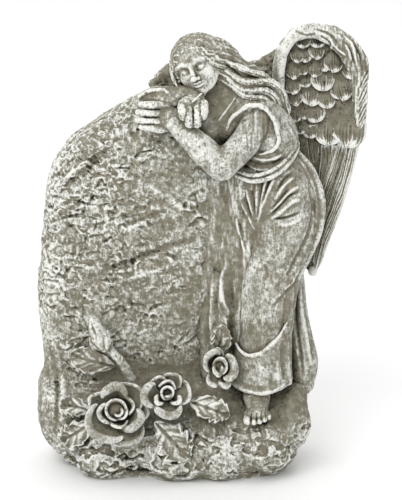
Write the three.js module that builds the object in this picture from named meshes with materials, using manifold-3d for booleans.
// A garden memorial figurine in cast resin: an angel in a long gown leans on a rough upright stone,
// cheek on her hands, one folded wing behind her shoulder, roses and leaves at the foot of the stone.
//
// Millimetres, +Z up. The front faces -Y, and +X is on the viewer's right. The origin is on the flat
// underside, below the middle of the rock.
//
// Each cast element is one mesh. Elements are made from the front to the back: each is trimmed by those
// already made, grown by GLUE_GAP, so that neighbours lie against each other with a thin glue line.
import * as THREE from "three";
import { mergeVertices } from "three/addons/utils/BufferGeometryUtils.js";
import Module from "manifold-3d";

const wasm = await Module();
wasm.setup();

// ---- Driving dimensions ----
const GLUE_GAP = 0.3; // between neighbouring castings
const SIDES = 8; // sides of a limb, lock or stem
const ROCK_TOP = 42; // where the mound meets the standing stone
const LEDGE = 11; // height of the rock's front edge
const ROCK_WAIST = 24; // height of the rock's widest part
const ROCK_TUCK = 0.2; // how far it draws in from there to the underside, as a share of its plan
const STONE_FRONT = -13; // the standing stone's front face
const STONE_BACK = 21;
const CREST_FRONT = 3; // the rough slab behind the angel
const WING_FRONT = 0; // the wing's panel
const WING_BACK = 9;
const HEAD = [-2, -17, 184]; // middle of the head
const NOSE = [-1.5, -27.4, 182];
const HEAD_TILT = -22; // degrees about Y: the crown leans to the viewer's left
const HEM = 39.5; // height of the gown's front hem
const BIG_ROSE = [-37, -30.5, 32];
const SMALL_ROSE = [-15, -29, 39];
const SIDE_ROSE = [7.5, -25, 51];

// ---- Materials ----
const finish = (color) => new THREE.MeshStandardMaterial({ color, roughness: 0.85, metalness: 0 });
const stonePaint = finish(0x9a9585);
const figurePaint = finish(0xc9c7bd);
const wingPaint = finish(0xb1ad9e);
const flowerPaint = finish(0xbab5a8);

// ---- Shape helpers ----
const v = (p) => new THREE.Vector3(...p);

/** A closed three.js geometry as a solid. */
function solid(geometry) {
  const shape = geometry.clone();
  for (const name of ["normal", "uv"]) shape.deleteAttribute(name);
  const merged = mergeVertices(shape, 1e-4);
  return new wasm.Manifold(
    new wasm.Mesh({
      numProp: 3,
      vertProperties: merged.attributes.position.array,
      triVerts: new Uint32Array(merged.index.array),
    }),
  );
}

const join = (...solids) => solids.reduce((whole, piece) => whole.add(piece));

/** Evenly spaced value along a list of numbers, t from 0 to 1. */
function along(values, t) {
  const at = t * (values.length - 1);
  const i = Math.min(Math.floor(at), values.length - 2);
  return values.length === 1 ? values[0] : THREE.MathUtils.lerp(values[i], values[i + 1], at - i);
}

/**
 * A round-ended bar along a smooth curve: a lathed capsule bent along it. radii are spread evenly along
 * the curve, and flat squeezes it front to back.
 */
function bar(points, radii, { flat = 1, steps = 6, sides = SIDES, grow = 0 } = {}) {
  const curve = new THREE.CatmullRomCurve3(points.map(v));
  const length = curve.getLength();
  const profile = [];
  const cap = (t, sign) => {
    const r = along(radii, t) + grow;
    const ring = [0, 45].map((deg) => THREE.MathUtils.degToRad(deg));
    const rim = ring.map((a) => new THREE.Vector2(r * Math.sin(a), t * length + sign * r * Math.cos(a)));
    return sign < 0 ? rim : rim.reverse();
  };
  profile.push(...cap(0, -1));
  for (let i = 0; i <= steps; i++) {
    profile.push(new THREE.Vector2(along(radii, i / steps) + grow, (i / steps) * length));
  }
  profile.push(...cap(1, 1));
  const shape = new THREE.LatheGeometry(profile, sides);
  const position = shape.getAttribute("position");
  const spot = new THREE.Vector3();
  for (let i = 0; i < position.count; i++) {
    spot.fromBufferAttribute(position, i);
    const u = THREE.MathUtils.clamp(spot.y / length, 0, 1);
    const tangent = curve.getTangentAt(u);
    const upright = Math.abs(tangent.y) > 0.9 ? v([0, 0, 1]) : v([0, 1, 0]);
    const side = new THREE.Vector3().crossVectors(tangent, upright).normalize();
    const depth = new THREE.Vector3().crossVectors(side, tangent);
    const place = curve
      .getPointAt(u)
      .addScaledVector(tangent, spot.y - u * length)
      .addScaledVector(side, spot.x)
      .addScaledVector(depth, spot.z * flat + Math.sign(spot.z) * grow * (1 - flat));
    position.setXYZ(i, place.x, place.y, place.z);
  }
  return solid(shape);
}

/** An ellipsoid with its semi-axes along X, Y and Z, then turned by Euler angles in degrees. */
function ellipsoid(centre, radii, { turn = [0, 0, 0], grow = 0, detail = 12 } = {}) {
  const shape = new THREE.SphereGeometry(1, detail, Math.round(detail * 0.6));
  shape.scale(...radii.map((r) => r + grow));
  const angles = turn.map((deg) => THREE.MathUtils.degToRad(deg));
  shape.applyMatrix4(new THREE.Matrix4().makeRotationFromEuler(new THREE.Euler(...angles)));
  return solid(shape.translate(...centre));
}

/** A smooth closed outline through points, as a Shape. */
function outline(points, count, corners = false) {
  if (corners) return new THREE.Shape(points.map((p) => new THREE.Vector2(...p)));
  const curve = new THREE.CatmullRomCurve3(points.map(([x, z]) => v([x, z, 0])), true);
  const rim = curve.getSpacedPoints(count).slice(0, -1);
  return new THREE.Shape(rim.map((p) => new THREE.Vector2(p.x, p.y)));
}

/** A slab standing in the XZ plane from yFront to yBack, with its rims rounded by bevel. */
function slab(points, yFront, yBack, { bevel = 2, count = 40, corners = false, grow = 0 } = {}) {
  const shape = new THREE.ExtrudeGeometry(outline(points, count, corners), {
    depth: yBack - yFront - 2 * bevel + 2 * grow,
    steps: 1,
    bevelThickness: bevel,
    bevelSize: bevel,
    bevelOffset: grow - bevel,
    bevelSegments: 1,
    curveSegments: 1,
  });
  return solid(shape.rotateX(Math.PI / 2).translate(0, yBack - bevel + grow, 0));
}

/** A ring of petals round the Y axis: a lathed wall whose radius swells in a given number of lobes. */
function petalRing({ inner, outer, height, lobes, swell, phase = 0, sides = 16, grow = 0 }) {
  const [r0, r1] = [inner - grow, outer + grow];
  const profile = [
    [r0 * 0.55, -grow],
    [r1 * 0.62, -grow],
    [r1, height * 0.75],
    [r1 * 0.93, height + grow],
    [r0, height * 0.72 + grow],
    [r0 * 0.55, -grow],
  ].map((p) => new THREE.Vector2(...p));
  const shape = new THREE.LatheGeometry(profile, sides);
  const position = shape.getAttribute("position");
  for (let i = 0; i < position.count; i++) {
    const [x, y, z] = [position.getX(i), position.getY(i), position.getZ(i)];
    const share = Math.max(0, y / height);
    const scale = 1 + swell * share * Math.cos(lobes * (Math.atan2(z, x) + phase));
    position.setXYZ(i, x * scale, y, z * scale);
  }
  return solid(shape);
}

/** Stands a solid made round +Y so that it opens towards the viewer, tipped up and turned sideways. */
function facing(piece, centre, { tip = 25, side = 0 } = {}) {
  const up = THREE.MathUtils.degToRad(tip);
  const aim = new THREE.Vector3(Math.sin(THREE.MathUtils.degToRad(side)), -Math.cos(up), Math.sin(up));
  const turn = new THREE.Quaternion().setFromUnitVectors(v([0, 1, 0]), aim.normalize());
  const matrix = new THREE.Matrix4().compose(v(centre), turn, v([1, 1, 1]));
  return piece.transform(matrix.elements);
}

// ---- The assembly ----
const figurine = new THREE.Group();
const keepOut = []; // what is already there, grown by the glue gap

/** Adds one named casting. make(grow) builds it, grown by that much. */
function cast(name, material, make) {
  let body = make(0);
  for (const other of keepOut) body = body.subtract(other);
  const largest = body.decompose().sort((a, b) => b.volume() - a.volume())[0];
  keepOut.push(make(GLUE_GAP));
  const mesh = largest.getMesh();
  const geometry = new THREE.BufferGeometry();
  geometry.setAttribute("position", new THREE.BufferAttribute(mesh.vertProperties, 3));
  geometry.setIndex(new THREE.BufferAttribute(mesh.triVerts, 1));
  geometry.computeVertexNormals();
  const node = new THREE.Mesh(geometry, material);
  node.name = name;
  figurine.add(node);
}

// ---- Hands and arms ----
const finger = (from, bend, to, grow) =>
  bar([from, bend, to], [1.5, 1.6, 1.3], { steps: 2, sides: 6, grow });

cast("right_hand", figurePaint, (grow) =>
  join(
    ellipsoid([-4, -27, 168], [5, 3, 4.5], { turn: [0, 10, 0], grow, detail: 10 }),
    finger([-7.5, -28, 168], [-8, -30, 164], [-7.6, -29, 160.5], grow),
    finger([-5, -28.5, 168], [-5.4, -31, 163], [-5.2, -30, 158.5], grow),
    finger([-2, -28.5, 168], [-2.2, -31, 163], [-2.6, -30, 158.8], grow),
    finger([0.6, -28, 167], [0.8, -30, 163], [0.2, -29.4, 160], grow),
  ),
);

cast("left_hand", figurePaint, (grow) =>
  join(
    ellipsoid([-15.5, -20, 162.5], [5.5, 3, 5.2], { turn: [0, 12, 0], grow, detail: 10 }),
    ...[0, 1, 2, 3].map((i) => {
      const z = 158 + 3.3 * i;
      const reach = [26, 28.2, 28, 26.5][i];
      return finger([-17, -20.5, z], [-22, -21, z + 0.4], [-reach, -19.5, z + 0.6], grow);
    }),
  ),
);

cast("left_arm", figurePaint, (grow) =>
  join(
    bar([[25, -20, 162], [18, -25, 151.5], [10, -27, 142.5]], [7.2, 6.8, 5.8], { grow }),
    bar([[9.5, -27, 142.5], [-0.5, -25.5, 150.5], [-10, -22, 159.5]], [6, 6.4, 4.4], { grow }),
  ),
);

cast("right_forearm", figurePaint, (grow) =>
  bar([[-25, -12, 168.5], [-18, -17, 170.5], [-10, -22, 170]], [4, 4.4, 3.8], { grow }),
);

// ---- Head and hair ----
const headTurn = [0, HEAD_TILT, 0];

cast("head", figurePaint, (grow) =>
  join(
    ellipsoid(HEAD, [9.6, 11, 12.2], { turn: headTurn, grow, detail: 16 }),
    ellipsoid(NOSE, [1.5, 2.2, 3.4], { turn: headTurn, grow, detail: 8 }),
  ),
);

cast("hair_cap", figurePaint, (grow) =>
  join(
    ellipsoid([-0.5, -14, 185.5], [14, 12, 12.5], { turn: headTurn, grow }),
    bar([[8, -12, 188], [15, -9, 183], [24, -6, 178]], [8, 6, 4], { flat: 0.7, grow }),
  ),
);

const locks = {
  hair_lock_1: [[9, -17, 190.5], [18, -15.5, 185], [26, -13, 182], [33, -11, 176.5], [36, -10, 168]],
  hair_lock_2: [[11, -19.5, 186], [16, -18.5, 181], [24, -16.5, 178], [31, -14.5, 174], [34.5, -13, 166]],
  hair_lock_3: [[11, -20, 181], [16, -19.5, 176], [22, -18.5, 173.5], [28, -17, 172], [32, -16, 167]],
};
for (const [name, points] of Object.entries(locks)) {
  cast(name, figurePaint, (grow) =>
    bar(points, [2.4, 2.7, 2.7, 2.4, 1.6], { flat: 0.8, steps: 7, sides: 6, grow }),
  );
}

cast("side_lock", figurePaint, (grow) =>
  bar([[-13.5, -16, 185], [-12.5, -19, 178], [-8, -20, 172]], [2, 1.8, 1.4], { steps: 4, grow }),
);

// ---- Bodice ----
cast("sleeve_edge", figurePaint, (grow) =>
  bar(
    [
      [13, -22, 160], [16.5, -24, 167], [23, -24, 169.5], [30.5, -21.5, 166], [33.5, -19.5, 158],
      [32, -19, 151], [25, -20, 148],
    ],
    [1.3, 1.7, 1.8, 1.8, 1.8, 1.7, 1.4],
    { steps: 9, sides: 6, grow },
  ),
);

cast("bodice_hem", figurePaint, (grow) =>
  bar(
    [[14, -20, 138.5], [21, -25, 134.5], [30, -26, 135.5], [38, -22.5, 140], [42.5, -13, 147]],
    [1.4, 1.9, 2, 1.8, 1.3],
    { steps: 10, sides: 8, grow },
  ),
);

cast("sleeve", figurePaint, (grow) =>
  ellipsoid([25, -14, 159], [10.5, 9, 11.5], { turn: [0, 25, 0], grow }),
);

cast("bodice", figurePaint, (grow) =>
  bar([[23, -9, 160], [28, -10, 152], [28, -11, 146]], [13, 14.5, 12.5], {
    flat: 0.9,
    steps: 3,
    sides: 12,
    grow,
  }),
);

cast("neck", figurePaint, (grow) =>
  bar([[5, -10, 176], [9, -11, 167], [14, -11, 157]], [6, 8.5, 9], { flat: 0.8, steps: 4, grow }),
);

// ---- Gown ----
cast("left_foot", figurePaint, (grow) =>
  join(
    bar([[24.5, -18, 38], [24.8, -24, 32], [25.6, -29.5, 27]], [5, 5.2, 5.2], {
      flat: 0.7,
      steps: 4,
      grow,
    }),
    ...[0, 1, 2, 3, 4].map((i) => {
      const size = 1.7 - 0.15 * i;
      const centre = [20.8 + 2.7 * i, -33 + 0.9 * i, 26 + 0.1 * i];
      return ellipsoid(centre, [size, 2.6, size], { grow, detail: 8 });
    }),
  ),
);

cast("overskirt_edge", figurePaint, (grow) =>
  bar(
    [
      [42, -9, 145], [47.5, -10, 139], [51.5, -11, 130], [53, -12, 120], [52, -13, 108],
      [47.5, -15, 97], [42.5, -17, 87], [40.5, -18, 76],
    ],
    [1.6, 2, 2.3, 2.4, 2.4, 2.3, 2, 1.5],
    { steps: 12, sides: 6, grow },
  ),
);

cast("skirt_cuff", figurePaint, (grow) =>
  join(
    bar([[28.5, -17, 54], [28.5, -17, 46]], [11.8, 12.6], { steps: 1, sides: 12, grow }).trimByPlane(
      [0, 0, 1],
      HEM - grow,
    ),
    bar(
      [[16, -23, 62], [21, -29, 56.5], [28, -30, 58.5], [35, -26, 65], [39.5, -19, 76]],
      [1.8, 2.2, 2.3, 2.2, 1.5],
      { steps: 8, sides: 8, grow },
    ),
  ),
);

cast("skirt", figurePaint, (grow) =>
  bar(
    [[28, -11, 138], [33, -12, 121], [31.5, -13, 101], [28.5, -15, 80], [27.5, -16, 56]],
    [12.5, 19, 16, 12.4, 11.2],
    { flat: 0.86, steps: 7, sides: 12, grow },
  ),
);

cast("inner_drape", figurePaint, (grow) =>
  bar(
    [[13, -12, 134], [14, -12, 112], [12, -12, 88], [12, -13, 64], [14, -14, 46]],
    [5, 6, 5.5, 5.5, 6],
    { flat: 0.8, steps: 7, grow },
  ),
);

cast("back_drape", figurePaint, (grow) =>
  bar(
    [[43, -5, 94], [43.5, -5, 78], [45, -5, 60], [46.5, -5, 49], [44, -5, 38]],
    [3, 5, 6, 6.4, 5],
    { steps: 7, grow },
  ),
);

// ---- Wing ----
/** One feather: a flat round-ended scale from its root to its tip. */
const feather = (root, tip, width, grow, flat = 0.34) =>
  bar([root, tip], [width * 0.75, width], { flat, steps: 1, sides: 6, grow });

/** A row of small feathers in a line across the wing, each hanging towards the tip of the wing. */
const featherRow = (first, last, count, width, grow) =>
  join(
    ...Array.from({ length: count }, (_, i) => {
      const t = count > 1 ? i / (count - 1) : 0;
      const root = v(first).lerp(v(last), t);
      return feather(root.toArray(), [root.x + 0.5, root.y - 2, root.z - 5.5], width, grow);
    }),
  );

cast("wing_arch", wingPaint, (grow) =>
  bar(
    [
      [35, -3, 163], [34.5, -4, 177], [36.5, -4.5, 189], [43, -4.5, 196.5], [52, -4, 198],
      [61, -3, 193], [68, -1, 182], [70, 1, 169], [68.5, 2, 157],
    ],
    [1.6, 2.1, 2.4, 3, 3.4, 3.6, 3.6, 3.2, 2.2],
    { steps: 14, grow },
  ),
);

const rows = [
  { first: [41, -4, 193.5], last: [54, -4, 194.5], count: 4, width: 3.1 },
  { first: [40.5, -3.6, 186.5], last: [52.5, -3.8, 188.5], count: 4, width: 3 },
  { first: [41, -3.2, 179], last: [56, -3.4, 181.5], count: 4, width: 3.4 },
  { first: [41.5, -2.8, 171.5], last: [56, -3, 174], count: 4, width: 3.4 },
  { first: [43, -2.4, 164.5], last: [53, -2.6, 166], count: 3, width: 3.4 },
  { first: [45.5, -2, 157.5], last: [51, -2.2, 158], count: 2, width: 3.2 },
];
rows.forEach(({ first, last, count, width }, i) => {
  cast(`feather_row_${i + 1}`, wingPaint, (grow) => featherRow(first, last, count, width, grow));
});

const coverts = [
  [[62, -2.5, 188], [64, -4, 180]],
  [[60.5, -2, 179], [61.5, -3.6, 171]],
  [[56.5, -1, 164], [58, -3, 152]],
  [[64.5, -0.5, 166], [64.5, -2.5, 150.5]],
];
coverts.forEach(([root, tip], i) => {
  cast(`covert_${i + 1}`, wingPaint, (grow) => feather(root, tip, 4.6, grow, 0.4));
});

const primaries = [
  { points: [[66, 1.5, 152], [64.5, 1.2, 136], [59, 1, 115], [53, 1, 94]], radii: [3.4, 3.8, 3.4, 2.6] },
  { points: [[60, 0.5, 150], [58.5, 0, 134], [55, 0, 118], [51.5, 0, 103]], radii: [3.2, 3.6, 3, 2.2] },
  { points: [[53, 0, 150], [53, -0.5, 138], [52, -0.5, 128]], radii: [3, 3.2, 2.4] },
  { points: [[46.5, 0, 152], [47.5, -0.5, 144], [48, -0.5, 138]], radii: [2.8, 3, 2.2] },
];
primaries.forEach(({ points, radii }, i) => {
  cast(`primary_${i + 1}`, wingPaint, (grow) =>
    bar(points, radii, { flat: 0.5, steps: 4, sides: 6, grow }),
  );
});

cast("wing_panel", wingPaint, (grow) =>
  slab(
    [
      [34, 160], [33.5, 179], [36.5, 193], [45, 199.5], [55, 199.5], [64, 194], [70.5, 185],
      [73.5, 174], [72.5, 158], [69, 140], [64, 118], [58, 101], [53, 87.5], [48.5, 87],
      [48.5, 104], [49.5, 125], [43, 150],
    ],
    WING_FRONT,
    WING_BACK,
    { bevel: 1.5, count: 34, grow },
  ),
);

// ---- Roses ----
/** The petal rings of a rose of unit radius, from the heart outwards. */
const ROSE_RINGS = {
  heart: { inner: 0.12, outer: 0.4, height: 0.62, lobes: 3, swell: 0.06, sides: 12 },
  inner_petals: { inner: 0.5, outer: 0.72, height: 0.52, lobes: 4, swell: 0.07, phase: 0.4 },
  outer_petals: { inner: 0.8, outer: 1, height: 0.3, lobes: 5, swell: 0.06, phase: 1 },
};

const rose = (name, centre, size, aim) => {
  for (const [part, ring] of Object.entries(ROSE_RINGS)) {
    const [inner, outer, height] = [ring.inner, ring.outer, ring.height].map((share) => share * size);
    cast(`${name}_${part}`, flowerPaint, (grow) =>
      facing(petalRing({ ...ring, inner, outer, height, grow }), centre, aim),
    );
  }
};
rose("big_rose", BIG_ROSE, 15.5, { tip: 22 });
rose("small_rose", SMALL_ROSE, 11, { tip: 28 });
cast("side_rose", flowerPaint, (grow) =>
  join(
    facing(petalRing({ inner: 1.2, outer: 6.6, height: 6, lobes: 3, swell: 0.08, grow }), SIDE_ROSE, {
      tip: 15,
    }),
    bar([[8, -24, 58], [8.6, -23, 63], [9, -21, 68]], [3, 2.2, 0.9], { steps: 3, grow }),
  ),
);

cast("rosebud", flowerPaint, (grow) =>
  bar([[-43.5, -23, 62.5], [-46, -24, 68], [-50, -22.5, 76]], [3.2, 3.9, 0.8], { steps: 5, grow }),
);
cast("rosebud_sepals", flowerPaint, (grow) =>
  ellipsoid([-43.5, -22.5, 62], [4.4, 4, 3.4], { turn: [0, -25, 0], grow }),
);
cast("rosebud_stem", flowerPaint, (grow) =>
  bar([[-42.5, -22, 60], [-37.5, -23, 55.5], [-33, -24, 48.5]], [2, 1.9, 2.1], { steps: 5, grow }),
);

// ---- Leaves ----
/** A leaf: a pointed flat blade, thicker along its midrib. */
const leaf = (root, tip, width, lean, grow) => {
  const middle = v(root).lerp(v(tip), 0.45).add(v([0, lean, 0]));
  const radii = [width * 0.5, width, width * 0.25];
  return bar([root, middle.toArray(), tip], radii, { flat: 0.3, grow });
};
const leaves = {
  stem_leaf: [[-41, -21, 51], [-57, -18, 53.5], 6, -1.5],
  left_leaf: [[-51, -29, 28], [-61, -24, 20], 9, -1.5],
  front_leaf: [[-16, -33, 25], [-8.5, -37, 15], 8.5, -1.5],
  right_leaf: [[-3, -29, 35.5], [8.5, -29, 32], 6.2, -1.5],
};
for (const [name, [root, tip, width, lean]] of Object.entries(leaves)) {
  cast(name, flowerPaint, (grow) => leaf(root, tip, width, lean, grow));
}

// ---- Stone, crest and rock ----
cast("memorial_stone", stonePaint, (grow) =>
  slab(
    [
      [-71, 34], [-73, 60], [-73.5, 90], [-73, 106], [-70, 130], [-65, 143], [-57, 151.5],
      [-45, 159.5], [-32, 167], [-22, 170.5], [-8, 168], [4, 155], [9, 135], [10, 110],
      [9.5, 80], [9, 50], [4, 34],
    ],
    STONE_FRONT,
    STONE_BACK,
    { bevel: 5, count: 40, grow },
  ),
);

cast("crest_slab", stonePaint, (grow) =>
  slab(
    [
      [11, 36], [11.5, 100], [11, 150], [4, 163], [-12, 171], [-21.5, 172], [-17, 179.5],
      [-11, 184], [6, 185], [19, 182], [27, 185], [35, 190], [39, 184], [41, 160],
      [45, 120], [44, 80], [43, 36],
    ],
    CREST_FRONT,
    STONE_BACK,
    { bevel: 2, count: 36, grow },
  ),
);

/** The rock: its side profile run across the whole width, kept to its rounded plan. */
cast("base_rock", stonePaint, () => {
  const plan = outline(
    [
      [-74.5, -4], [-71, -17], [-58, -26], [-41, -33], [-22, -36], [2, -37], [24, -36],
      [39, -31], [47, -20], [49, -4], [46, 16], [34, 24], [0, 26], [-40, 25], [-68, 19],
    ],
    30,
  );
  const column = new THREE.ExtrudeGeometry(plan, { depth: ROCK_TOP, steps: 7, bevelEnabled: false });
  const position = column.getAttribute("position");
  for (let i = 0; i < position.count; i++) {
    const below = Math.max(0, 1 - position.getZ(i) / ROCK_WAIST);
    const draw = 1 - ROCK_TUCK * below ** 2;
    position.setXYZ(i, position.getX(i) * draw, position.getY(i) * draw, position.getZ(i));
  }
  const profile = outline(
    [
      [-40, 0], [-40, LEDGE], [-35, LEDGE + 4], [-27, 21], [-20, 31], [-13, ROCK_TOP],
      [18, ROCK_TOP], [30, 33], [30, 0],
    ],
    0,
    true,
  );
  const run = new THREE.ExtrudeGeometry(profile, { depth: 160, steps: 1, bevelEnabled: false });
  run.rotateX(Math.PI / 2).rotateZ(Math.PI / 2).translate(-85, 0, 0);
  return solid(column).intersect(solid(run));
});

export default figurine;
